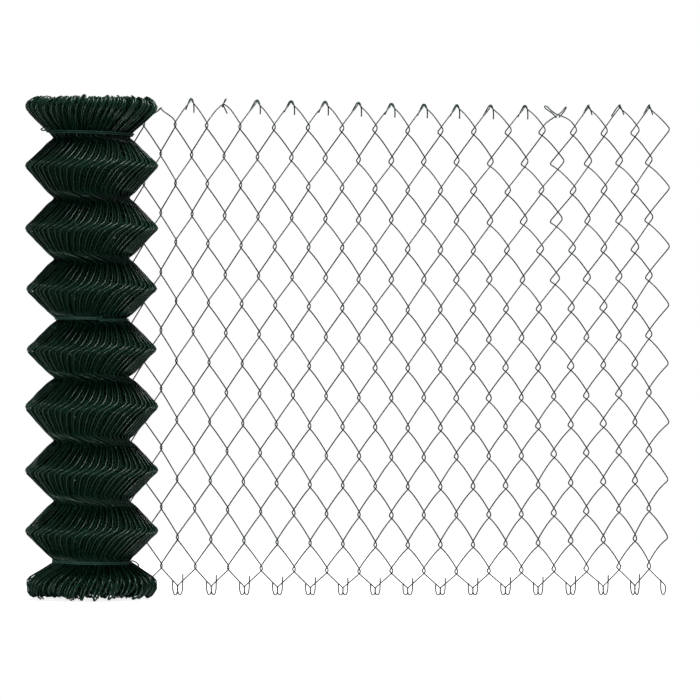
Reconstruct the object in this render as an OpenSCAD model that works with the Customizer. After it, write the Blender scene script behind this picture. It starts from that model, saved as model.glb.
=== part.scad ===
// Roll of green coated chain-link fencing, standing on its end, with a length drawn out to one side.
// Millimetres, +Z up. The origin is on the axis of the roll, at the level of the floor.
// +X follows the loose length, and -Y is the front.

/* [Fencing] */
// Height of the loose length, from edge to edge
fence_h = 1000; // [800:10:1200]
// Diameter of the wire over its coating
wire_d = 2; // [1.6:0.1:2.4]
// Straight runs of each wire between the two edges
wire_runs = 17; // [15:2:19]
// Width of one flattened spiral, from bend to bend
spiral_w = 58; // [55:0.5:62]
// Half of the height that a bend takes up
bend_h = 3; // [2:0.5:5]
// Clearance between two wires that hook round each other, and between a wire and the roll
wire_gap = 0.3; // [0.2:0.05:0.5]
// Sides of a wire's section
wire_sides = 5; // [4:1:6]

/* [Loose length] */
// Spirals in the loose length
spirals = 34; // [10:1:36]
// Distance from one spiral to the next along the loose length
spiral_step = 32.5; // [29:0.5:35]
// Slack of the hooks beside the roll
slack_at_roll = 5; // [4:0.5:8]
// Slack of the hooks at the free end
slack_at_end = 17; // [10:0.5:18]
// How far short of the hook line an edge hook turns back
hook_short = 1.5; // [1:0.5:3]
// Width of an edge hook
hook_w = 10; // [8:0.5:12]
// Height of the turned-back tail of an edge hook
hook_tail = 30; // [20:1:40]
// Share of the first run that is left off where the first wire meets the roll
first_cut = 0.4; // [0.35:0.05:0.6]
// Heading from the axis of the roll to where the first wire lies against the lobes
seat_heading = 71; // [68:1:74]

/* [Roll] */
// Diameter over the lobes
lobe_d = 264; // [240:2:290]
// Height of the lowest waist above the floor
waist_z = 82; // [70:1:90]
// Depth of the highest waist below the top of the roll
top_waist = 74.5; // [65:0.5:85]
// Waists from bottom to top
waists = 8; // [6:1:8]
// Height of the rounded crest of a lobe
lobe_land = 8; // [4:1:14]
// Height of the narrow band of a waist
waist_land = 9; // [8:1:14]
// How much smaller the end rims are than the lobes, in radius
rim_inset = 2; // [1:0.5:6]
// Rounding of the end rims
rim_round = 9; // [4:1:12]
// Diameter of the open bore
bore_d = 52; // [40:2:70]
// Turns of mesh between the bore and the outside
turns = 6; // [3:1:8]
// Depth of the groove between two turns on the ends
turn_groove = 4; // [2:0.5:6]

/* [Ties] */
// How far a tie draws in its waist, in radius
tie_squeeze = 5; // [2:0.5:8]
// Strands of each tie
tie_strands = 2; // [2:1:2]
// Radius of the curl at the end of a tie
tie_curl = 6; // [5:0.5:8]
// Lean of the curl above the level
tie_lean = 35; // [20:5:40]

/* [Hidden] */
// Steps round one strand of a tie, and round its curl
TIE_STEPS = 24;
CURL_STEPS = 8;
CURL_TURN = 290;

// A wire's flat-sided section has the area of the round one
wire_r = wire_d / 2 * sqrt(2 * PI / (wire_sides * sin(360 / wire_sides)));
run_h = fence_h / wire_runs;
pitch = 2 * run_h;
run_angle = atan((run_h - 2 * bend_h) / spiral_w);

lobe_r = lobe_d / 2;
waist_r = lobe_r - spiral_w;
rim_r = lobe_r - rim_inset;
bore_r = bore_d / 2;

// The folds of the roll are those of the mesh, so its height follows from them
roll_h = waist_z + (waists - 1) * pitch + top_waist;

// Ties sit on the lowest waist, the highest one and the one just above the middle
bottom_tie_waist = 0;
middle_tie_waist = floor(waists / 2);
top_tie_waist = waists - 1;
tied = [bottom_tie_waist, middle_tie_waist, top_tie_waist];

function waist_height(k) = waist_z + k * pitch;
function waist_radius(k) = waist_r - (len(search(k, tied)) > 0 ? tie_squeeze : 0);

// Slack of hook line j: hook line j joins spiral j - 1 to spiral j
function slack(j) = slack_at_roll + (slack_at_end - slack_at_roll) * j / spirals;
// Distance between the two hook lines of spiral i
function hook_span(i) = spiral_w - (slack(i) + slack(i + 1)) / 2;
function tilt(i) = acos(spiral_step / hook_span(i));
// How much further off a leaning run sits than an upright one, for the same clearance from a level edge
// The angle is the one, in plan, between the run and the square to that edge
function lean(angle) = sqrt(pow(cos(angle) * cos(run_angle), 2) + pow(sin(run_angle), 2)) / sin(run_angle);
// Thickness of spiral i between the middles of its front and back runs
function spiral_t(i) = (2 * wire_r + wire_gap) * lean(90 - tilt(i)) / cos(tilt(i));

// The first spiral lies against the back of the lobes, where its front run passes below their crests
lobe_above_hook = waist_z + run_h - pitch - lobe_land / 2;
seat_reach = (lobe_above_hook - bend_h) / tan(run_angle);
seat_r = lobe_r + (wire_r + wire_gap) * lean(seat_heading - tilt(0));
seat = seat_r * [cos(seat_heading), sin(seat_heading)];
along_0 = [cos(tilt(0)), sin(tilt(0))];
across_0 = [-sin(tilt(0)), cos(tilt(0))];
first_hook = seat + across_0 * spiral_t(0) / 2 - along_0 * (seat_reach - slack(0) / 2);

// Hook lines in plan: the loose length zigzags, with even lines at the front and odd lines at the back
hooks = [
    for (j = 0, p = first_hook; j <= spirals;
         p = p + [spiral_step, (j % 2 == 0 ? 1 : -1) * sin(tilt(min(j, spirals - 1))) * hook_span(min(j, spirals - 1))],
         j = j + 1) p
];

function wire_name(i) = str("loose_wire_", i < 9 ? "0" : "", i + 1);

COAT = [0.09, 0.20, 0.14];
TIE_COAT = [0.12, 0.25, 0.18];

function unit(v) = v / norm(v);
// Turns a side direction from one straight piece of a path to the next
function carried(side, d1, d2) = side - (side * d2) / (1 + d1 * d2) * (d1 + d2);

// Corner points of a wire along a path: one mitred ring of corners at each point
function wire_corners(path, sides) =
    let (
        last = len(path) - 1,
        d = [for (k = [0 : last - 1]) unit(path[k + 1] - path[k])],
        first_side = unit(cross(d[0], [0, 1, 0])),
        side = [
            for (k = 0, s = first_side; k < last;
                 s = k + 1 < last ? carried(s, d[k], d[k + 1]) : s, k = k + 1) s
        ]
    )
    [
        for (k = [0 : last])
            let (
                before = max(k - 1, 0),
                after = min(k, last - 1),
                mitre = unit(d[before] + d[after]),
                up = cross(d[before], side[before])
            )
            for (j = [0 : sides - 1])
                let (
                    a = 360 * (j + 0.5) / sides,
                    out = wire_r * (cos(a) * side[before] + sin(a) * up)
                )
                path[k] + out - d[before] * ((out * mitre) / (d[before] * mitre))
    ];

function wire_faces(rings, sides) = concat(
    [[for (j = [0 : sides - 1]) j]],
    [
        for (k = [0 : rings - 2])
            for (j = [0 : sides - 1])
                let (next = (j + 1) % sides)
                [k * sides + j, (k + 1) * sides + j, (k + 1) * sides + next, k * sides + next]
    ],
    [[for (j = [sides - 1 : -1 : 0]) (rings - 1) * sides + j]]
);

module wire(path) {
    polyhedron(wire_corners(path, wire_sides), wire_faces(len(path), wire_sides), convexity = 10);
}

// Path of loose spiral i, from its lower hook to its upper hook
function spiral_path(i) =
    let (
        along = unit(hooks[i + 1] - hooks[i]),
        across = [-along.y, along.x] * spiral_t(i) / 2,
        left = hooks[i] - along * slack(i) / 2,
        right = hooks[i + 1] + along * slack(i + 1) / 2,
        // The bend at level k is on the right where k + i is odd
        at_right = function (k) (k + i) % 2 == 1,
        // Wires that rise to the right are on the front face, the others on the back face
        below = function (k) at_right(k) ? -across : across,
        above = function (k) -below(k),
        // A point of an edge hook, the given distance short of the hook line
        short = function (k, by) at_right(k) ? hooks[i + 1] - along * by : hooks[i] + along * by,
        // The tail of an edge hook is on the other face from its run, or on the left one wire further out than it
        tail = function (k, face)
            short(k, hook_short + hook_w) + (at_right(k) ? -face : face + unit(face) * (2 * wire_r + wire_gap)),
        point = function (p, z) [p.x, p.y, z],
        low = above(0),
        high = below(wire_runs),
        run_start = short(0, hook_short) + low,
        run_end = (at_right(1) ? right : left) + below(1),
        cut_point = run_start + (run_end - run_start) * first_cut
    )
    concat(
        i == 0
            ? [point(cut_point, run_h * first_cut)]
            : [
                point(tail(0, low), hook_tail),
                point(tail(0, low), wire_r),
                point(run_start, wire_r)
            ],
        [
            for (k = [1 : wire_runs - 1])
                let (bend = at_right(k) ? right : left)
                for (p = [point(bend + below(k), k * run_h - bend_h), point(bend + above(k), k * run_h + bend_h)]) p
        ],
        [
            point(short(wire_runs, hook_short) + high, fence_h - wire_r),
            point(tail(wire_runs, high), fence_h - wire_r),
            point(tail(wire_runs, high), fence_h - hook_tail)
        ]
    );

module loose_wire(i) {
    color(COAT) wire(spiral_path(i));
}

// Half section of the roll: folded outside, turns showing on both ends, open bore
module roll_section() {
    turn_w = (rim_r - rim_round - bore_r) / turns;
    turn_edges = [for (k = [1 : turns - 1]) bore_r + k * turn_w];
    groove_half = turn_groove / 2;
    bottom = [for (r = turn_edges) each [[r - groove_half, 0], [r, turn_groove], [r + groove_half, 0]]];
    top = [
        for (k = [turns - 2 : -1 : 0])
            let (r = turn_edges[k])
            each [[r + groove_half, roll_h], [r, roll_h - turn_groove], [r - groove_half, roll_h]]
    ];
    outside = [
        for (k = [0 : waists - 1])
            let (z = waist_height(k), r = waist_radius(k), crest = z + run_h)
            each concat(
                [[r, z - waist_land / 2], [r, z + waist_land / 2]],
                k < waists - 1 ? [[lobe_r, crest - lobe_land / 2], [lobe_r, crest + lobe_land / 2]] : []
            )
    ];
    polygon(concat(
        [[bore_r, 0]],
        bottom,
        [[rim_r - rim_round, 0], [rim_r, rim_round]],
        outside,
        [[rim_r, roll_h - rim_round], [rim_r - rim_round, roll_h]],
        top,
        [[bore_r, roll_h]]
    ));
}

module rolled_mesh() {
    color(COAT) rotate_extrude($fn = 96) roll_section();
}

// One tie: a wire wound round a waist, with its end curled outwards at the given heading
function tie_path(waist, heading) =
    let (
        tie_r = (waist_radius(waist) + wire_r + wire_gap) / cos(180 / TIE_STEPS),
        strand_step = 2 * wire_r + wire_gap,
        first_z = waist_height(waist) - strand_step * tie_strands / 2,
        out = [cos(heading), sin(heading), 0],
        onward = [-sin(heading), cos(heading), 0] * cos(tie_lean) + [0, 0, sin(tie_lean)],
        wound_end = tie_r * out + [0, 0, first_z + tie_strands * strand_step],
        curl_mid = wound_end + tie_curl * out
    )
    concat(
        [
            for (k = [0 : tie_strands * TIE_STEPS])
                let (a = heading + 360 * k / TIE_STEPS)
                [tie_r * cos(a), tie_r * sin(a), first_z + strand_step * k / TIE_STEPS]
        ],
        [
            for (k = [1 : CURL_STEPS])
                let (a = CURL_TURN * k / CURL_STEPS)
                curl_mid + tie_curl * (sin(a) * onward - cos(a) * out)
        ]
    );

module tie(waist, heading) {
    color(TIE_COAT) wire(tie_path(waist, heading));
}

// Headings of the curls: left, front and right
module top_tie() tie(top_tie_waist, 180);
module middle_tie() tie(middle_tie_waist, 285);
module bottom_tie() tie(bottom_tie_waist, 0);

rolled_mesh();
top_tie();
middle_tie();
bottom_tie();
for (i = [0 : spirals - 1]) loose_wire(i);
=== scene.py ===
# %% [markdown]
# # A compact roll of chain-link fencing
# Chain link is made of flattened wire spirals, each one screwed into the last. For transport the
# mesh is pushed together until the spirals nest, rolled up and tied, so the roll gets lobes and
# waists like a concertina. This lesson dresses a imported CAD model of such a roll. Everything is in
# metres, +Z is up, the origin is on the axis of the roll, +X follows the length that is drawn out,
# and -Y is the front.

import math

import bpy
import numpy as np
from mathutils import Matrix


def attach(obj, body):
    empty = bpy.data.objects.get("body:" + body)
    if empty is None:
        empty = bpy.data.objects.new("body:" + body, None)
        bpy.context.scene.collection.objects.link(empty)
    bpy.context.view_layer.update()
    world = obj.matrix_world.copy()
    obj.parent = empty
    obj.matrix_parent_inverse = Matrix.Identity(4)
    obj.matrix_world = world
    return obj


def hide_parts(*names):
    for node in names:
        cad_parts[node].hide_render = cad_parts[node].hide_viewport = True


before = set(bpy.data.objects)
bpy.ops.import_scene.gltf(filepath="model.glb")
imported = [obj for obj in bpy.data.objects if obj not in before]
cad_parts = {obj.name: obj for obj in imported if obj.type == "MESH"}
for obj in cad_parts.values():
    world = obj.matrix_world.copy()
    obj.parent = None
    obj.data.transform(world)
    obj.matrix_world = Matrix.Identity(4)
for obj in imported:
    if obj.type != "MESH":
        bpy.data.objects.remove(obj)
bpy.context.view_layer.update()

# %% [markdown]
# ## Camera
# A product photograph like this one is taken from far away with a long lens, so the front of the
# roll is hardly larger than the mesh behind it. A parallel view would be simpler, but it would lose
# that small difference. A distance of nine metres gives it. The lens follows from the distance and
# from the size of the mesh in the picture.

# %% Set the camera
PICTURE_PX = 700
CAMERA_AWAY = 9.0
CAMERA_X = 0.508
CAMERA_Z = 0.490
CAMERA_REACH = 100
FOCAL_PX = 4574
SENSOR_MM = 36.0

camera_data = bpy.data.cameras.new("long_lens")
camera_data.sensor_width = SENSOR_MM
camera_data.lens = FOCAL_PX * SENSOR_MM / PICTURE_PX
camera_data.clip_end = CAMERA_REACH
camera = bpy.data.objects.new("long_lens", camera_data)
camera.location = (CAMERA_X, -CAMERA_AWAY, CAMERA_Z)
camera.rotation_euler = (math.pi / 2, 0, 0)
bpy.context.scene.collection.objects.link(camera)
bpy.context.scene.camera = camera
print(f"lens {camera_data.lens:.0f} mm")

# %% [markdown]
# ## Floor
# The roll stands on a white table top without a horizon. A backdrop that curves up behind the roll
# could hide the horizon, but from behind it would stand in the way. So the top is a disc that thins
# out to nothing. To the camera it also glows a little, which brings it to the white of the picture.
# To the light it is matt white, takes a soft shadow and brightens the lower side of the lobes.

# %% Lay the floor
FLOOR_R = 3.0
FLOOR_SOLID_R = 1.5
FLOOR_CLEAR_R = FLOOR_R * 0.97
FLOOR_X = 0.45
FLOOR_Z = -0.0002
FLOOR_CORNERS = 96
FLOOR_WHITE = (0.8, 0.8, 0.8, 1)
TABLE_GLOW = 0.86


def light_table():
    """A matt white top that glows to the camera, and turns clear between two radii."""
    material = bpy.data.materials.new("light_table")
    material.use_nodes = True
    nodes = material.node_tree.nodes
    links = material.node_tree.links
    nodes.clear()
    matt = nodes.new("ShaderNodeBsdfDiffuse")
    matt.inputs["Color"].default_value = FLOOR_WHITE
    glow = nodes.new("ShaderNodeEmission")
    glow.inputs["Strength"].default_value = TABLE_GLOW
    lit = nodes.new("ShaderNodeAddShader")
    links.new(glow.outputs["Emission"], lit.inputs[0])
    links.new(matt.outputs["BSDF"], lit.inputs[1])
    ray = nodes.new("ShaderNodeLightPath")
    top = nodes.new("ShaderNodeMixShader")
    links.new(ray.outputs["Is Camera Ray"], top.inputs["Fac"])
    links.new(matt.outputs["BSDF"], top.inputs[1])
    links.new(lit.outputs["Shader"], top.inputs[2])

    place = nodes.new("ShaderNodeTexCoord")
    length = nodes.new("ShaderNodeVectorMath")
    length.operation = "LENGTH"
    fade = nodes.new("ShaderNodeMapRange")
    fade.interpolation_type = "SMOOTHSTEP"
    fade.inputs["From Min"].default_value = FLOOR_SOLID_R
    fade.inputs["From Max"].default_value = FLOOR_CLEAR_R
    clear = nodes.new("ShaderNodeBsdfTransparent")
    blend = nodes.new("ShaderNodeMixShader")
    out = nodes.new("ShaderNodeOutputMaterial")
    links.new(place.outputs["Object"], length.inputs[0])
    links.new(length.outputs["Value"], fade.inputs["Value"])
    links.new(fade.outputs["Result"], blend.inputs["Fac"])
    links.new(top.outputs["Shader"], blend.inputs[1])
    links.new(clear.outputs["BSDF"], blend.inputs[2])
    links.new(blend.outputs["Shader"], out.inputs["Surface"])
    return material


rim = np.linspace(0, 2 * np.pi, FLOOR_CORNERS, endpoint=False)
rim_points = np.stack([FLOOR_R * np.cos(rim), FLOOR_R * np.sin(rim), np.zeros_like(rim)], axis=1)
floor_mesh = bpy.data.meshes.new("floor")
floor_mesh.from_pydata(rim_points, [], [np.arange(len(rim)).tolist()])
floor_mesh.materials.append(light_table())
floor = bpy.data.objects.new("floor", floor_mesh)
floor.location = (FLOOR_X, 0, FLOOR_Z)
bpy.context.scene.collection.objects.link(floor)
print("floor radius", FLOOR_R)

# %% [markdown]
# ## Light
# Round wires show a light as thin streaks, so the places of the lights decide where the roll
# glints. A large soft light overhead draws the upper side of each lobe. A small one near the floor,
# at the front left, draws the lowest lobes. Two more fill the front and the back. A bright room all
# around would be simpler, but it would turn the gaps between the wires grey. So the room looks
# white to the camera and gives hardly any light.

# %% Hang the lights
# Each light has a place, the point that it faces, the length of its side and its power in watts
LIGHTS = {
    "overhead": ((0.5, -0.45, 2.7), (0.0, 0, 0.5), 1.2, 62),
    "low_left": ((-0.55, -1.1, 0.03), (0.0, 0, 0.15), 0.4, 9),
    "front_fill": ((1.8, -5.0, 1.8), (0.2, 0, 0.5), 1.2, 16),
    "back_fill": ((0.0, 4.2, 2.4), (0.1, 0, 0.5), 1.4, 36),
}
WHITE = (1, 1, 1, 1)
ROOM_SEEN = 1.0
ROOM_LIGHT = 0.08


def soft_light(name, place, aim, size, power):
    """A square light at a place, turned towards an aim point."""
    data = bpy.data.lights.new(name, "AREA")
    data.shape = "SQUARE"
    data.size = size
    data.energy = power
    lamp = bpy.data.objects.new(name, data)
    bpy.context.scene.collection.objects.link(lamp)
    away = np.array(place) - np.array(aim)
    tipped = math.acos(away[2] / np.linalg.norm(away))
    turned = math.atan2(away[1], away[0]) + math.pi / 2
    lamp.location = place
    lamp.rotation_euler = (tipped, 0, turned)


for light_name, light in LIGHTS.items():
    soft_light(light_name, *light)

world = bpy.data.worlds.new("studio")
bpy.context.scene.world = world
world.use_nodes = True
room = world.node_tree.nodes
room_links = world.node_tree.links
room.clear()
room_ray = room.new("ShaderNodeLightPath")
room_mix = room.new("ShaderNodeMixShader")
room_out = room.new("ShaderNodeOutputWorld")
room_links.new(room_ray.outputs["Is Camera Ray"], room_mix.inputs["Fac"])
for socket, strength in ((1, ROOM_LIGHT), (2, ROOM_SEEN)):
    wall = room.new("ShaderNodeBackground")
    wall.inputs["Color"].default_value = WHITE
    wall.inputs["Strength"].default_value = strength
    room_links.new(wall.outputs["Background"], room_mix.inputs[socket])
room_links.new(room_mix.outputs["Shader"], room_out.inputs["Surface"])
bpy.context.scene.view_settings.view_transform = "Standard"
bpy.context.scene.view_settings.look = "None"
print("lights", list(LIGHTS))

# %% [markdown]
# ## Finish of the coated wire
# The wire is drawn through a die in soft green plastic, so its skin is smooth with a fine grain,
# and glossy. At the bends the skin is painted paler in flecks, a painted highlight on the bends. A
# trick that looks at the shape of the mesh would find the whole of a thin wire, so the bends come
# from an attribute that the meshes carry, and the painted highlight follows each wire. The turns
# inside the roll get darker greens and a duller skin: painted shade for the shade deep in the roll.

# %% Mix the coated wire finishes
COAT_DARK = (0.0016, 0.0140, 0.0070, 1)
COAT_LIGHT = (0.0042, 0.0320, 0.0160, 1)
# A paler green in flecks at the bends: a painted highlight on the bent wire.
COAT_BEND_HIGHLIGHT = (0.018, 0.062, 0.040, 1)
# Darker greens for the turns inside the roll: painted shade for the shade deep inside the roll.
INNER_SHADE_DARK = (0.0011, 0.0125, 0.0064, 1)
INNER_SHADE_LIGHT = (0.0034, 0.0310, 0.0160, 1)
TIE_DARK = (0.010, 0.052, 0.038, 1)
TIE_LIGHT = (0.026, 0.105, 0.076, 1)
BLOTCH_SCALE = 38
BLOTCH_DETAIL = 3
FLECK_SCALE = 420
GRAIN_SCALE = 1400
FINE_DETAIL = 2
FLECK_DULLS = 0.22
GRAIN_STRENGTH = 0.12
GRAIN_DEPTH = 0.0002


def skin_noise(nodes, links, place, scale, detail):
    """A noise on Object coordinates, with so many spots a metre."""
    noise = nodes.new("ShaderNodeTexNoise")
    noise.inputs["Scale"].default_value = scale
    noise.inputs["Detail"].default_value = detail
    links.new(place.outputs["Object"], noise.inputs["Vector"])
    return noise.outputs["Fac"]


def coated_wire(name, dark, light, highlight_colour, roughness, shine):
    """Plastic skin: two greens mixed by a coarse noise, paler flecks at the bends as a painted
    highlight, and a fine grain.
    """
    material = bpy.data.materials.new(name)
    material.use_nodes = True
    nodes = material.node_tree.nodes
    links = material.node_tree.links
    skin = nodes["Principled BSDF"]
    place = nodes.new("ShaderNodeTexCoord")
    blotch = skin_noise(nodes, links, place, BLOTCH_SCALE, BLOTCH_DETAIL)
    fleck = skin_noise(nodes, links, place, FLECK_SCALE, FINE_DETAIL)
    grain = skin_noise(nodes, links, place, GRAIN_SCALE, FINE_DETAIL)

    greens = nodes.new("ShaderNodeMix")
    greens.data_type = "RGBA"
    greens.inputs["A"].default_value = dark
    greens.inputs["B"].default_value = light
    links.new(blotch, greens.inputs["Factor"])

    # Paler flecks where the wire bends: a painted highlight.
    bend = nodes.new("ShaderNodeAttribute")
    bend.attribute_name = "bend_highlight_mask"
    bend_highlight_share = nodes.new("ShaderNodeMath")
    bend_highlight_share.operation = "MULTIPLY"
    links.new(bend.outputs["Fac"], bend_highlight_share.inputs[0])
    links.new(fleck, bend_highlight_share.inputs[1])
    colour = nodes.new("ShaderNodeMix")
    colour.data_type = "RGBA"
    colour.inputs["B"].default_value = highlight_colour
    links.new(bend_highlight_share.outputs["Value"], colour.inputs["Factor"])
    links.new(greens.outputs["Result"], colour.inputs["A"])
    links.new(colour.outputs["Result"], skin.inputs["Base Color"])

    dull = nodes.new("ShaderNodeMapRange")
    dull.inputs["To Min"].default_value = roughness
    dull.inputs["To Max"].default_value = roughness + FLECK_DULLS
    links.new(fleck, dull.inputs["Value"])
    links.new(dull.outputs["Result"], skin.inputs["Roughness"])

    bump = nodes.new("ShaderNodeBump")
    bump.inputs["Strength"].default_value = GRAIN_STRENGTH
    bump.inputs["Distance"].default_value = GRAIN_DEPTH
    links.new(grain, bump.inputs["Height"])
    links.new(bump.outputs["Normal"], skin.inputs["Normal"])
    skin.inputs["Specular IOR Level"].default_value = shine
    return material


COATED = coated_wire("coated_wire", COAT_DARK, COAT_LIGHT, COAT_BEND_HIGHLIGHT, roughness=0.14, shine=0.50)
# The inner turns' finish is darker and duller than the outer wire: painted shade for the inside of the
# roll.
SHADED_INNER_WIRE = coated_wire("shaded_inner_wire", INNER_SHADE_DARK, INNER_SHADE_LIGHT, COAT_LIGHT, roughness=0.55, shine=0.12)
TIE_COATED = coated_wire("tie_wire", TIE_DARK, TIE_LIGHT, COAT_BEND_HIGHLIGHT, roughness=0.30, shine=0.45)
print("finishes", COATED.name, SHADED_INNER_WIRE.name, TIE_COATED.name)

# %% [markdown]
# ## Round wire along a path
# Every piece here is round wire. A curve with a round bevel could make it, but it would carry no
# attribute for its bends. So one helper carries a ring of points along any number of paths at once:
# at each point it needs the way ahead and one direction that is square to it. The others join the
# rings with four-sided faces, close both ends and store how sharply the wire bends at each ring.

# %% Define the wire helpers
WIRE_R = 0.0013
WIRE_SIDES = 8
# The turn in radians at which the painted highlight on a bend is full.
FULL_HIGHLIGHT_TURN = 0.55


def unit(vectors):
    """Each vector over its own length."""
    return vectors / np.linalg.norm(vectors, axis=-1, keepdims=True)


def wire_rings(paths, hints, sides):
    """Ring points = path + radius (side cos a + up sin a), side square to the way ahead and the hint."""
    ahead = unit(np.gradient(paths, axis=1))
    side = unit(np.cross(ahead, hints))
    up = np.cross(side, ahead)
    a = 2 * np.pi * np.arange(sides) / sides
    ring = np.cos(a)[:, None] * side[:, :, None, :] + np.sin(a)[:, None] * up[:, :, None, :]
    return paths[:, :, None, :] + WIRE_R * ring


def bend_at_rings(paths):
    """Change of direction at each point, as a share of the turn that gets the full painted highlight, up
    to one.
    """
    step = unit(np.diff(paths, axis=1))
    turn = np.linalg.norm(np.diff(step, axis=1), axis=2)
    return np.clip(np.pad(turn, ((0, 0), (1, 1))) / FULL_HIGHLIGHT_TURN, 0, 1)


def wire_faces(wires, points, sides):
    """Corner numbers of the four-sided faces: around each wire, and across its two ends."""
    corner = np.arange(wires * points * sides).reshape(wires, points, sides)
    turned = np.roll(corner, -1, axis=2)
    skin = np.stack([corner[:, :-1], corner[:, 1:], turned[:, 1:], turned[:, :-1]], axis=-1)
    k = np.arange(sides // 2 - 1)
    cap = np.stack([k, k + 1, sides - 2 - k, sides - 1 - k], axis=1)
    start = corner[:, 0][:, cap]
    end = corner[:, -1][:, cap[:, ::-1]]
    return np.concatenate([skin.reshape(-1, 4), start.reshape(-1, 4), end.reshape(-1, 4)])


def wire_piece(name, paths, hints, sides, material, nodes):
    """One object of round wires that stands for the given CAD nodes."""
    rings = wire_rings(paths, hints, sides)
    mesh = bpy.data.meshes.new(name)
    mesh.from_pydata(rings.reshape(-1, 3), [], wire_faces(*rings.shape[:3]))
    mesh.shade_smooth()
    # How sharply the wire bends: the mask of the painted highlight at the bends.
    bend_highlight_mask = mesh.attributes.new("bend_highlight_mask", "FLOAT", "POINT")
    bend_highlight_mask.data.foreach_set("value", np.repeat(bend_at_rings(paths).ravel(), sides).astype(np.float32))
    mesh.materials.append(material)
    piece = bpy.data.objects.new(name, mesh)
    bpy.context.scene.collection.objects.link(piece)
    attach(piece, "root")
    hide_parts(*nodes)
    return piece


print("wire drawn", 2000 * WIRE_R, "mm across")

# %% [markdown]
# ## The folds of the roll
# In the roll every spiral stands on edge, with one bend out at the lobe and one bend in at the
# waist of each fold. All the spirals are in step, so they nest like stacked springs. Seen from
# outside, a wire leans to the right going up round each lobe, and crosses back behind the waist.
# Copies of one bent curve could fill the roll, but they would all be alike, so each path is worked
# out as a height, a radius and a heading. Heights are counted in folds, p, with a lobe at each
# whole number and a waist half way. The radius is a triangle wave that is rounded by keeping three
# of its terms, and the heading swings with the fold.

# %% Shape the folds
LOBES = 7
FOLD_H = 0.119
FIRST_LOBE_Z = 0.1345
LOBE_R = 0.1308
WAIST_R = 0.0765
WAVE_TERMS = (1, 3, 5)
TIED_WAISTS = np.array([-0.5, 3.5, 6.5])
TIE_SQUEEZE = np.array([0.0010, 0.0020, -0.0010])
SQUEEZE_FOLDS = 0.17
SLIM = 0.0042
SLIM_AT = 3.4
SLIM_FOLDS = 0.8
SWING = math.radians(15)
SWING_END = 0.40
EVEN_SWING = 0.6
ELBOW = 0.045
STEP_SPARE = 0.001


def fold_radius(p):
    """Rounded triangle wave from lobe to waist, less the squeeze of the ties, slimmer half way up."""
    wave = sum(np.cos(2 * np.pi * n * p) / n**2 for n in WAVE_TERMS) / sum(1 / n**2 for n in WAVE_TERMS)
    squeeze = np.exp(-(((p[..., None] - TIED_WAISTS) / SQUEEZE_FOLDS) ** 2)) @ TIE_SQUEEZE
    slim = SLIM * np.exp(-(((p - SLIM_AT) / SLIM_FOLDS) ** 2))
    return (LOBE_R + WAIST_R) / 2 + (LOBE_R - WAIST_R) / 2 * wave - squeeze - slim


def fold_swing(f):
    """Swing at f folds from a lobe: right above, left below, fastest at the lobe, back at the waist."""
    far = np.abs(f)
    out = EVEN_SWING * far / SWING_END + (1 - EVEN_SWING) * (1 - np.exp(-far / ELBOW))
    back = np.cos(np.pi / 2 * np.clip((far - SWING_END) / (0.5 - SWING_END), 0, 1))
    return SWING * np.sign(f) * np.where(far < SWING_END, out, back)


def fold_steps(half_fold):
    """Steps in p from the lowest waist to the highest one, from the steps of half a fold."""
    one = np.concatenate([-half_fold[::-1], half_fold[1:]])[:-1]
    every = (np.arange(-1, LOBES + 1)[:, None] + one).ravel()
    return every[(every > -0.5 - STEP_SPARE) & (every < LOBES - 0.5 + STEP_SPARE)]


print("fold height", FOLD_H)

# %% [markdown]
# At both rims the last bend of each spiral is free and stands beyond the last waist as a finger:
# out along the flare, over a rounded tip and back inside. No two fingers are alike, so their
# length, width and radius vary. A turned rim with a bump pattern would be quicker, but its outline
# would be smooth.

# %% Shape one nested spiral
RISES = np.array([0.0080, 0.0040])
RISES_AT = np.array([2.2, 6.0])
RISE_FOLDS = np.array([0.40, 0.30])
CROSS_DIP = 0.002
CROSS_FOLDS = 0.05
BORE_CLEAR_R = 0.0275
FINGER_SEED = 5
TOP_GROWTH = (0.93, 1.02)
FOOT_GROWTH = (0.84, 1.02)
FINGER_WIDTH = (0.85, 1.15)
RAGGED = 0.006
# A finger from the last waist to its tip and back: sideways, up or down, and away from the axis
FINGER_SIDE = np.array([4, 9, 14, 19, 23, 26.5, 30, 33, 36, 39, 39.5, 36.5, 32, 27, 22]) / 1000
TOP_RISE = np.array([10, 22, 35, 48, 57, 64, 71, 76, 78.5, 77, 71, 62, 50, 36, 24]) / 1000
TOP_R = np.array([85, 97.5, 111, 123, 129.5, 130.5, 127, 119, 112, 112, 119, 124, 120, 107, 95]) / 1000
FOOT_DROP = np.array([8, 17, 26, 35, 43, 52, 60, 67, 71.5, 71, 65, 56, 46, 36, 26]) / 1000
FOOT_R = np.array([86, 98, 111, 124, 130, 130.6, 130, 125, 117, 116, 122, 126, 123, 112, 99]) / 1000
# The share of its shift sideways that a nested finger has made at each of these points
NEST_SHARE = np.array([0.1, 0.4, 0.7, 0.9, 1, 1, 1, 1, 1, 1, 1, 1, 1, 1, 1])


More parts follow.
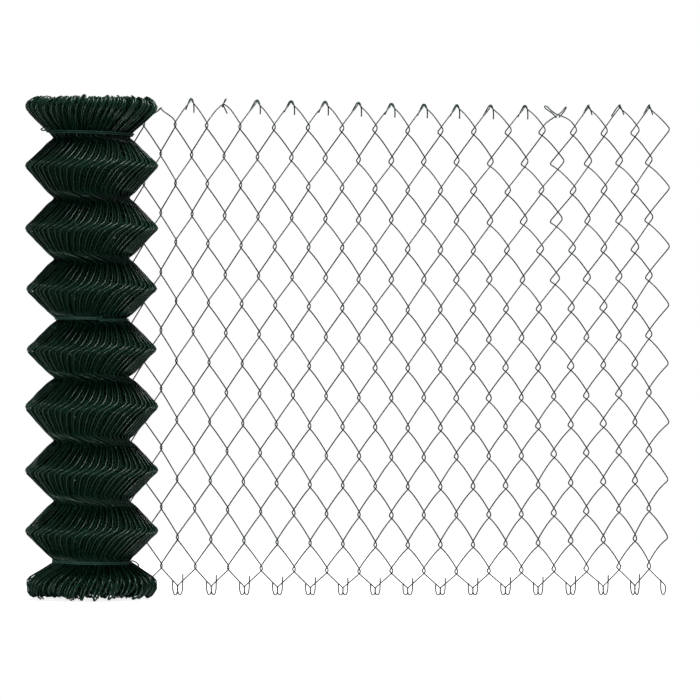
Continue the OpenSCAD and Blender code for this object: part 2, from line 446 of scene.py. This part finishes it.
def nested_paths(headings, inset, lift, p, hand, reach, nest):
    """Paths of nested spirals with a finger at each rim, from columns of headings, insets and lifts.

    Radius is the fold radius less the inset, dips where wires cross at a waist, and avoids the bore.
    Heading is the spiral's own plus the swing. Height is that of the fold plus its rise and the lift.
    """
    f = p - np.round(p)
    crossing = np.exp(-(((np.abs(f) - 0.5) / CROSS_FOLDS) ** 2))
    radius = np.maximum(fold_radius(p) - CROSS_DIP * crossing - inset, BORE_CLEAR_R)
    heading = headings + hand * fold_swing(f)
    rise = np.exp(-(((p[..., None] - RISES_AT) / RISE_FOLDS) ** 2)) @ RISES
    height = FIRST_LOBE_Z + p * FOLD_H + rise + lift * np.sin(np.pi * (p + 1) / (LOBES + 1))

    fingers = np.random.default_rng(FINGER_SEED)
    one_each = (len(radius), 1)
    top_grown = reach * fingers.uniform(*TOP_GROWTH, one_each)
    foot_grown = reach * fingers.uniform(*FOOT_GROWTH, one_each)
    side = hand * fingers.uniform(*FINGER_WIDTH, one_each) * FINGER_SIDE / LOBE_R
    top = heading[:, -1:] + side + nest * NEST_SHARE
    foot = heading[:, :1] - side[:, ::-1] + nest * NEST_SHARE[::-1]
    heading = np.concatenate([foot, heading, top], axis=1)
    top = height[:, -1:] + top_grown * TOP_RISE
    foot = np.maximum(height[:, :1] - foot_grown * FOOT_DROP[::-1], WIRE_R)
    height = np.concatenate([foot, height, top], axis=1)
    ragged = inset + fingers.uniform(0, RAGGED, (2, *one_each))
    radius = np.concatenate([FOOT_R[::-1] - ragged[0], radius, TOP_R - ragged[1]], axis=1)
    return np.stack([radius * np.cos(heading), radius * np.sin(heading), height], axis=2)


def outward(paths):
    """The direction away from the axis of the roll at each path point."""
    return unit(paths * np.array([1.0, 1.0, 0.0]))


print("finger points", len(FINGER_SIDE))

# %% [markdown]
# ## The turns of the roll
# The outermost turn shows every wire, so it gets eight sides and close steps. The next spirals sit
# a little deeper in its gaps, as the neighbours that hook behind it. The turns further in show the
# front and the back runs of their spirals in turn, which lean opposite ways, and need only wide
# steps. All but the outermost turn have four sides, because they only fill the gaps: finer wires
# would cost much and show nothing more.

# %% Wind the turns of the roll
ROLL_SEED = 17
OUTER_SPIRALS = 52
OUTER_START = 0.02
OUTER_DEEPER = 0.0012
NEIGHBOUR_START = OUTER_START + math.pi / OUTER_SPIRALS
NEIGHBOUR_INSET = 0.0036
NEIGHBOUR_DEEPER = 0.001
NEIGHBOUR_REACH = 0.985
FINGER_GAP = 0.002
NEIGHBOUR_NEST = FINGER_GAP / LOBE_R - math.pi / OUTER_SPIRALS
TURN_INSETS = (0.0090, 0.0165, 0.0215, 0.0270, 0.0355, 0.0435)
TURN_COUNTS = (110, 100, 92, 84, 68, 54)
TURN_HANDS = (-1, 1, -1, 1, -1, 1)
TURN_DEEPER = 0.003
TURN_REACH = 0.965
START_PER_INSET = 50
TURN_SIDES = 4
CLOSE_STEPS = np.array([0, 0.04, 0.085, 0.14, 0.21, 0.29, 0.35, 0.40, 0.43, 0.46, 0.5])
WIDE_STEPS = np.array([0, 0.06, 0.14, 0.27, 0.40, 0.45, 0.5])
UNEVEN_SPACING = 0.16
UNEVEN_DEPTH = 0.0012
UNEVEN_LIFT = 0.0022
roll_chance = np.random.default_rng(ROLL_SEED)


def turn_paths(count, inset, deeper, steps, start, hand, reach, nest=0.0):
    """One turn: evenly spaced headings, every second spiral deeper, with a little seeded unevenness."""
    order = np.arange(count)
    spacing = roll_chance.uniform(-UNEVEN_SPACING, UNEVEN_SPACING, count)
    headings = start + 2 * np.pi / count * (order + spacing)
    depth = inset + (np.where(order % 2, deeper, 0.0) + roll_chance.uniform(0, UNEVEN_DEPTH, count))
    lift = roll_chance.uniform(-UNEVEN_LIFT, UNEVEN_LIFT, count)
    p = fold_steps(steps)[None, :]
    return nested_paths(headings[:, None], depth[:, None], lift[:, None], p, hand, reach, nest)


outer = turn_paths(OUTER_SPIRALS, 0.0, OUTER_DEEPER, CLOSE_STEPS, OUTER_START, hand=1, reach=1.0)
inner = [
    turn_paths(count, inset, TURN_DEEPER, WIDE_STEPS, inset * START_PER_INSET, hand, TURN_REACH)
    for count, inset, hand in zip(TURN_COUNTS, TURN_INSETS, TURN_HANDS)
]
neighbour = turn_paths(
    OUTER_SPIRALS,
    NEIGHBOUR_INSET,
    NEIGHBOUR_DEEPER,
    CLOSE_STEPS,
    NEIGHBOUR_START,
    hand=1,
    reach=NEIGHBOUR_REACH,
    nest=NEIGHBOUR_NEST,
)
# All turns but the outermost take the painted-shade finish of the inside of the roll.
TURNS = {
    "outer_turn": (outer, WIRE_SIDES, COATED),
    "neighbour_turn": (neighbour, TURN_SIDES, SHADED_INNER_WIRE),
    "middle_turns": (np.concatenate(inner[:2]), TURN_SIDES, SHADED_INNER_WIRE),
    "inner_turns": (np.concatenate(inner[2:4]), TURN_SIDES, SHADED_INNER_WIRE),
    "core_turns": (np.concatenate(inner[4:]), TURN_SIDES, SHADED_INNER_WIRE),
}
for turn_name, (paths, sides, finish) in TURNS.items():
    turn = wire_piece(turn_name, paths, outward(paths), sides, finish, ["rolled_mesh"])
    print(turn_name, "triangles", 2 * len(turn.data.polygons))

# %% [markdown]
# ## Ties
# Three lengths of coated wire are wound twice round a waist and drawn tight, and none of them sits
# quite level. One end of each is left as a small loop, so the tie can be undone by hand. A ring and
# a separate loop would be simpler, but they would show a joint. So a tie is one path: a tilted
# helix and then a loop.

# %% Wind the ties
TIE_TURNS = 2
TIE_STEPS = 56
TIE_STRAND = 0.0032
TIE_CLEAR = 0.0019
LOOP_STEPS = 26


def tie_path(waist, rise, heading, slant, loop_r, loop_lean, loop_turn, loop_dip):
    """A helix that lies on the folds at a rise above a waist, tilted by a slant, with a loop at its end.

    The loop is part of a circle that goes on from the helix, leans up and stands out at the heading.
    """
    heading = math.radians(heading)
    lean = math.radians(loop_lean)
    middle_z = FIRST_LOBE_Z + waist * FOLD_H + rise
    a = np.linspace(0, TIE_TURNS * 2 * np.pi, TIE_TURNS * TIE_STEPS + 1)
    z = middle_z + TIE_STRAND * (a / (2 * np.pi) - TIE_TURNS / 2) + slant * np.cos(a + heading)
    tie_r = fold_radius((z - FIRST_LOBE_Z) / FOLD_H) + TIE_CLEAR
    wound = np.stack([tie_r * np.cos(heading + a), tie_r * np.sin(heading + a), z], axis=1)
    out = np.array([math.cos(heading), math.sin(heading), -loop_dip])
    level = math.cos(lean)
    onward = np.array([-math.sin(heading) * level, math.cos(heading) * level, math.sin(lean)])
    b = np.linspace(0, math.radians(loop_turn), LOOP_STEPS)[1:, None]
    loop = wound[-1] + loop_r * ((1 - np.cos(b)) * out + np.sin(b) * onward)
    return np.concatenate([wound, loop])


# Waist in folds, rise, heading and slant, then the loop's radius, lean, turn and dip.
# Lengths are in metres and angles in degrees. The dip is a slope.
TIES = {
    "top_tie": tie_path(6.5, 0.0085, 205, -0.0035, 0.0072, 20, 310, 0.0),
    "middle_tie": tie_path(3.5, 0.0, 285, -0.0010, 0.0056, 35, 300, 0.2),
    "bottom_tie": tie_path(-0.5, -0.002, 0, -0.0022, 0.0074, 24, 345, 0.55),
}
for tie_name, path in TIES.items():
    binding = tie_name.replace("tie", "binding")
    hint = np.broadcast_to(np.array([0.0, 0.0, 1.0]), path[None].shape)
    wire_piece(binding, path[None], hint, WIRE_SIDES, TIE_COATED, [tie_name])
print("ties", list(TIES))

# %% [markdown]
# ## The loose length
# Drawn out, the mesh shows how it is woven: the wires that rise to the right are at the front of
# each spiral and the others at the back, and each bend hooks round a bend of the next spiral. In
# plan the spirals stand zigzag. A flat sheet with a see-through pattern would be quicker, but it
# would have neither front nor back. The hook lines, where two spirals meet, repeat the layout of
# the CAD model, which is worked out from the spacing of the spirals, the slack in their hooks and
# the clearance between their wires.

# %% Lay out the hook lines
SPIRALS = 34
SPIRAL_W = 0.058
SPIRAL_STEP = 0.0325
RUNS = 17
RUN_H = 1.0 / RUNS
PITCH = 2 * RUN_H
BEND_H = 0.003
RUN_ANGLE = math.atan((RUN_H - 2 * BEND_H) / SPIRAL_W)
SLACK_AT_ROLL = 0.005
SLACK_AT_END = 0.017
WIRE_GAP = 0.0003
# The solids' wire has flat sides and the area of the real round wire
REAL_WIRE_R = 0.001
SOLID_SIDES = 5
SOLID_CORNER = math.radians(360 / SOLID_SIDES)
SOLID_WIRE_R = REAL_WIRE_R * math.sqrt(2 * math.pi / (SOLID_SIDES * math.sin(SOLID_CORNER)))
SOLID_LOBE_R = 0.132
SOLID_WAIST_Z = 0.082
LOBE_LAND = 0.008
SEAT_HEADING = math.radians(71)

line_slack = SLACK_AT_ROLL + (SLACK_AT_END - SLACK_AT_ROLL) * np.arange(SPIRALS + 1) / SPIRALS
hook_span = SPIRAL_W - (line_slack[:-1] + line_slack[1:]) / 2
tilt = np.arccos(SPIRAL_STEP / hook_span)


def leaning(angle):
    """How much further off a leaning run sits than an upright one, for the same clearance."""
    across = np.cos(angle) * math.cos(RUN_ANGLE)
    return np.sqrt(across**2 + math.sin(RUN_ANGLE) ** 2) / math.sin(RUN_ANGLE)


spiral_t = (2 * SOLID_WIRE_R + WIRE_GAP) * leaning(math.pi / 2 - tilt) / np.cos(tilt)
seat_reach = (SOLID_WAIST_Z + RUN_H - PITCH - LOBE_LAND / 2 - BEND_H) / math.tan(RUN_ANGLE)
seat_r = SOLID_LOBE_R + (SOLID_WIRE_R + WIRE_GAP) * leaning(SEAT_HEADING - tilt[0])
along_0 = np.array([math.cos(tilt[0]), math.sin(tilt[0])])
across_0 = np.array([-along_0[1], along_0[0]])
first_hook = (
    seat_r * np.array([math.cos(SEAT_HEADING), math.sin(SEAT_HEADING)])
    + across_0 * spiral_t[0] / 2
    - along_0 * (seat_reach - line_slack[0] / 2)
)
zigzag = np.where(np.arange(SPIRALS) % 2 == 0, 1, -1) * np.sin(tilt) * hook_span
hook_steps = np.cumsum(np.stack([np.full(SPIRALS, SPIRAL_STEP), zigzag], axis=1), axis=0)
hooks = first_hook + np.concatenate([np.zeros((1, 2)), hook_steps])
line_px = PICTURE_PX / 2 + FOCAL_PX * (hooks[:, 0] - CAMERA_X) / (hooks[:, 1] + CAMERA_AWAY)
print("hook lines in the picture", np.round(line_px, 1))

# %% [markdown]
# No two hooks of a mesh that has been handled are alike. Each hook, at a line and a level, gets its
# own slack and a small shift. The slack grows towards the free end and, there, towards the top,
# where the two bends of a hook also slide past each other. One line has been pulled about, and its
# upper hooks gape.

# %% Give every hook its own slack
MESH_SEED = 17
LEAST_SLACK = 0.0034
SLACK_GROWS = 0.0116
SLACK_UPWARDS = 0.8
SLACK_SPREAD = (0.78, 1.22)
FREE_EDGE_SLACK = 0.0185
WORN_LINE = 27
WORN_LEVELS = slice(11, 16, 2)
WORN_SLACK = np.array([1.5, 2.1, 2.8])
SLIDE = 0.0035
SLIDE_FROM = 0.35
SLIDE_OVER = 0.4
UNEVEN_HOOK = 0.0012

mesh_chance = np.random.default_rng(MESH_SEED)
levels = np.arange(RUNS + 1)
along_share = np.arange(SPIRALS + 1)[:, None] / SPIRALS
level_share = levels[None, :] / RUNS
upwards = 1 + SLACK_UPWARDS * along_share * (level_share - 0.5)
slack = (LEAST_SLACK + SLACK_GROWS * along_share) * upwards
slack = slack * mesh_chance.uniform(*SLACK_SPREAD, slack.shape)
slack[-1] = np.minimum(slack[-1], FREE_EDGE_SLACK)
slack[WORN_LINE, WORN_LEVELS] *= WORN_SLACK
slide = SLIDE * along_share * np.clip((level_share - SLIDE_FROM) / SLIDE_OVER, 0, 1)
hook_dz = mesh_chance.uniform(-UNEVEN_HOOK, UNEVEN_HOOK, slack.shape)
level_z = RUN_H * levels[None, :] + hook_dz * (levels > 0) * (levels < RUNS)
print("slack from", slack.min().round(4), "to", slack.max().round(4))

# %% [markdown]
# Between two hooks a wire is a run, and at a hook it bends from the front of the spiral to its
# back. The runs of a stretched mesh aren't straight: further from the roll they bow, the back ones
# everywhere and the front ones in the lower half. Straight runs would look like a drawing of a
# mesh. All runs and bends of a spiral are worked out at once, as a distance along the spiral, a
# distance to the back and a height.

# %% Bow the runs and bend the hooks
RUN_POINTS = 12
RUN_SHARES = 0.5 - 0.5 * np.cos(np.pi * np.linspace(0, 1, RUN_POINTS))
RUN_BOW = 0.0042
BACK_BOW_GROWS = 1.6
FRONT_BOW_GROWS = 1.3
FRONT_BOW_LOW = 1.25
FRONT_BOW_FALLS = 1.9
BOW_BELOW = 0.55
BOW_UPWARDS = 0.9
BEND_SHARES = np.array([0.25, 0.5, 0.75])
BEND_BULGE = 0.0007
LEFT_BEND_H = 0.0024
RIGHT_BEND_H = 0.0034
FACE_GAP = 0.0052

bow_back = RUN_BOW * np.clip(along_share * BACK_BOW_GROWS, 0, 1)
bow_front = RUN_BOW * np.clip(along_share * FRONT_BOW_GROWS, 0, 1)
bow_front = bow_front * np.clip(FRONT_BOW_LOW - FRONT_BOW_FALLS * level_share, 0, 1)


def spiral_runs(i):
    """Runs and bends of spiral i as points (distance along the spiral, distance to the back, height).

    A run is a straight line from bend to bend plus a bow across it, 4 s (1 - s), deeper higher up.
    A bend goes through half a turn from one face to the other and bulges outwards by a sine.
    """
    right = (levels + i) % 2 == 1
    line = np.where(right, i + 1, i)
    outwards = np.where(right, 1, -1)
    reach = slack[line, levels] / 2
    u = np.where(right, hook_span[i] + reach, -reach)
    z = level_z[line, levels] + outwards * slide[line, levels]
    half_bend = np.where(right, RIGHT_BEND_H, LEFT_BEND_H)

    rising_right = right[1:]
    face = np.where(rising_right, -1, 1) * FACE_GAP / 2
    start = np.stack([u[:-1], z[:-1] + half_bend[:-1]], axis=1)
    end = np.stack([u[1:], z[1:] - half_bend[1:]], axis=1)
    d = unit(end - start)
    normal = np.stack([-d[:, 1], d[:, 0]], axis=1) * np.where(rising_right, 1, -1)[:, None]
    bow = np.where(rising_right, bow_front[line[:-1], levels[:-1]], bow_back[line[:-1], 0])
    s = RUN_SHARES[None, :, None]
    depth = 4 * s * (1 - s) * (BOW_BELOW + BOW_UPWARDS * s)
    flat = start[:, None] + s * (end - start)[:, None] + depth * (bow[:, None] * normal)[:, None]
    w = np.broadcast_to(face[:, None], flat.shape[:2])
    runs = np.stack([flat[..., 0], w, flat[..., 1]], axis=2)

    b = BEND_SHARES[None, :]
    bend_u = u[1:-1, None] + outwards[1:-1, None] * BEND_BULGE * np.sin(np.pi * b)
    bend_w = face[:-1, None] * np.cos(np.pi * b)
    bend_z = z[1:-1, None] + half_bend[1:-1, None] * (2 * b - 1)
    bends = np.stack([bend_u, bend_w, bend_z], axis=2)
    woven = np.concatenate([runs[:-1], bends], axis=1).reshape(-1, 3)
    return np.concatenate([woven, runs[-1]])


def in_room(i, points):
    """Points of spiral i from its own directions into the room."""
    along = unit(hooks[i + 1] - hooks[i])
    u, w, z = points.T
    x = hooks[i][0] + u * along[0]
    y = hooks[i][1] + np.clip(u, 0, hook_span[i]) * along[1] + w
    return np.stack([x, y, z], axis=1)


print("points of a spiral without its ends", len(spiral_runs(0)))

# %% [markdown]
# Along both edges the wire ends are bent back as hooks, in pairs. At the foot the two wires of a
# pair meet above the floor, run down side by side, turn outwards and stand up as tails. At the top
# the left one lies back along its own run and the right one makes a rounder loop. Hooks bent by
# hand differ, so a few lines get shapes of their own: two near the roll, the worn line and the last
# few before the free end. Each shape is a short row of points that is smoothed together with the
# runs.

# %% Bend the edge hooks
HOOK_SIDE = 0.0017
TOP_EDGE_Z = 1.0
LOW_EDGE_Z = 0.979
ROLL_LINE = 3
ODD_HOOK_LINE = 7
FORKS_FROM_LINE = 29


def bent(*points):
    """A hook in metres, from points in millimetres: sideways from its line and upwards from the edge."""
    return np.array(points) / 1000


FOOT_TURN = ((-5.8, 1.0), (-3.0, 1.0), (-0.8, 4), (0.3, 9), (0.6, 15), (0.2, 21))
FOOT_LEFT = bent((-9.2, 33), (-9.8, 23), (-9.6, 12), (-8.4, 4), *FOOT_TURN)
FOOT_RIGHT = bent((-10, 45), (-10, 28), (-9.8, 13), (-8.6, 4), *FOOT_TURN)
LENS = bent((0.2, -12), (0.7, -5), (0.0, -1.6), (-1.9, -4), (-5.2, -11), (-9.0, -20), (-12.8, -28))
LOOP = bent(
    *((0.0, -12), (-0.6, -5), (0.4, -1.8), (3.0, -4.4)),
    *((5.8, -11), (7.0, -18), (6.8, -26), (6.2, -33)),
)
SHORT_LENS = LENS[:5]
SHORT_LOOP = LOOP[:4]
HAIRPIN = bent(
    *((0.2, -12), (2.4, -5), (3.4, -1.6), (1.8, -1.7)),
    *((-2.0, -5), (-6.4, -12), (-11, -19), (-15, -27)),
)
FORK = bent((-0.2, -12), (-1.2, -5), (-1.8, -1.8), (0.2, -3), (3.6, -9), (6.8, -17), (8.6, -24))
LONG_LOOP = bent(
    *((0.0, -17), (3.0, -10), (6.0, -4.5), (7.6, -1.8)),
    *((6.0, -1.6), (3.2, -6), (0.0, -14), (-3, -21)),
)
SHORT_FORK = bent((-0.4, -15), (-2.6, -12), (-2.0, -15), (1.6, -21), (5.4, -28), (7.4, -33))
LOOSE_LEFT = bent(
    *((3, -26), (9, -19), (14.5, -11.5), (17.5, -6), (20.5, -5)),
    *((20.5, -9), (17, -14.5), (10.5, -21.5), (3, -29)),
)
LOOSE_RIGHT = bent(
    *((3, -26), (-4, -22), (-11, -16.5), (-16, -11), (-18.5, -5.5), (-22.5, -3)),
    *((-25.5, -6), (-24, -11), (-18.5, -14), (-11, -18), (-5, -23), (-2, -30)),
)


def edge_hook(line, side, shape, edge_z):
    """A hook in a plane just before its line, or mirrored and just behind it where side is -1."""
    x = hooks[line][0] + side * shape[:, 0]
    y = np.full(len(shape), hooks[line][1] - side * HOOK_SIDE)
    return np.stack([x, y, edge_z + shape[:, 1]], axis=1)


def top_shape(line, left):
    """Which hook ends a wire at the top: one pair is short, two are odd, the last ones are forked."""
    if line == ROLL_LINE:
        return SHORT_LENS if left else SHORT_LOOP
    if line == WORN_LINE:
        return LOOSE_LEFT if left else LOOSE_RIGHT
    if line == ODD_HOOK_LINE:
        return LONG_LOOP if left else SHORT_FORK
    if line >= FORKS_FROM_LINE:
        return HAIRPIN if left else FORK
    return LENS if left else LOOP


print("top hook of most wires", len(LENS), "and", len(LOOP), "points")

# %% [markdown]
# The mesh sags between the roll and its free end, and hangs lower at the top of that end. Short of
# its free edge it has also been pulled to the right, most of all at the top near the worn line, and
# near the roll more at the foot than at the top. Cloth simulation could find such a shape, but not
# the one that the picture shows. So the finished paths are moved by smooth functions of their
# place.

# %% Let the mesh settle
TOP_SAG = 0.016
TOP_SAG_X = (0.46, 1.10)
MIDDLE_SAG = 0.0165
MIDDLE_FROM = 0.13
MIDDLE_SPAN = 0.97
FLOOR_HOLDS = 0.06
SAG_BELOW = 1.12
SAG_LESS_ABOVE = 0.62
PULL = 0.006
PULL_X = (0.20, 0.52)
FAN = 0.010
FAN_Z = 0.45
FAN_STARTS_X = (0.10, 0.22)
FAN_ENDS_X = (0.25, 0.60)
TOP_PULL = 0.008
TOP_PULL_X = 0.88
TOP_PULL_W = 0.11
TOP_PULL_Z = (0.45, 0.95)
END_HOLDS_X = (1.04, 1.13)


def smooth_step(v, low, high):
    """0 below low, 1 above high, and an even curve between them."""
    s = np.clip((v - low) / (high - low), 0, 1)
    return s * s * (3 - 2 * s)


def settled(path):
    """Height less the sag at the top and in the middle; x plus the pull, its fan and the top's pull."""
    x, y, z = path.T
    top_sag = TOP_SAG * np.clip((x - TOP_SAG_X[0]) / (TOP_SAG_X[1] - TOP_SAG_X[0]), 0, 1) * z
    middle = np.sin(np.pi * np.clip((x - MIDDLE_FROM) / MIDDLE_SPAN, 0, 1))
    off_floor = 1 - np.exp(-z / FLOOR_HOLDS)
    middle_sag = MIDDLE_SAG * middle * off_floor * (SAG_BELOW - SAG_LESS_ABOVE * z * z)
    pulled = PULL * smooth_step(x, *PULL_X)
    before_end = 1 - smooth_step(x, *FAN_ENDS_X)
    pulled = pulled + FAN * (FAN_Z - z) * before_end * smooth_step(x, *FAN_STARTS_X)
    near_worn = np.exp(-(((x - TOP_PULL_X) / TOP_PULL_W) ** 2))
    pulled = pulled + TOP_PULL * near_worn * smooth_step(z, *TOP_PULL_Z)
    pulled = pulled * (1 - smooth_step(x, *END_HOLDS_X))
    return np.stack([x + pulled, y, z - top_sag - middle_sag], axis=1)


print("sag up to", MIDDLE_SAG * SAG_BELOW, "in the middle and", TOP_SAG, "at the top")

# %% [markdown]
# Now each spiral is put together from its foot hook, a first run that starts at that hook, its
# woven runs and its top hook, and is smoothed as a whole, so that no corner shows where they meet.
# The first spiral has no foot hook, because its foot is behind the roll.

# %% Weave the loose length
HOOK_WIDTH = (0.85, 1.15)
FIRST_POINT = 4
SPARE_POINTS = 4
MORE_SPARE_POINTS = {WORN_LINE: 6, ROLL_LINE: 7}
SMOOTH_TIMES = 2


def smoothed(path):
    """Each inner point moves half way to the middle of its neighbours, a few times over."""
    for _ in range(SMOOTH_TIMES):
        inner_points = 0.25 * path[:-2] + 0.5 * path[1:-1] + 0.25 * path[2:]
        path = np.concatenate([path[:1], inner_points, path[-1:]])
    return path


def spiral_path(i):
    """Whole path of spiral i: foot hook, first run, woven runs less their last points, top hook."""
    woven = in_room(i, spiral_runs(i))
    odd = i % 2 == 1
    top_line = i if odd else i + 1
    foot = edge_hook(i + 1, 1, FOOT_LEFT, 0.0) if odd else edge_hook(i, -1, FOOT_RIGHT, 0.0)
    shape = top_shape(top_line, not odd) * np.array([mesh_chance.uniform(*HOOK_WIDTH), 1.0])
    top = edge_hook(top_line, 1, shape, LOW_EDGE_Z if top_line == ROLL_LINE else TOP_EDGE_Z)
    first = len(RUN_SHARES) - 1
    slope = foot[-1] + RUN_SHARES[1:-1, None] * (woven[first] - foot[-1])
    body = woven[first : -MORE_SPARE_POINTS.get(top_line, SPARE_POINTS)]
    lower = [woven[FIRST_POINT:first]] if i == 0 else [foot, slope]
    return smoothed(np.concatenate([*lower, body, top]))


total = 0
for i in range(SPIRALS):
    path = settled(spiral_path(i))[None]
    along = unit(hooks[i + 1] - hooks[i])
    hint = np.broadcast_to(np.array([-along[1], along[0], 0.0]), path.shape)
    node = f"loose_wire_{i + 1:02d}"
    piece = wire_piece(f"spiral_{i + 1:02d}", path, hint, WIRE_SIDES, COATED, [node])
    total += 2 * len(piece.data.polygons)
print("loose length triangles", total)
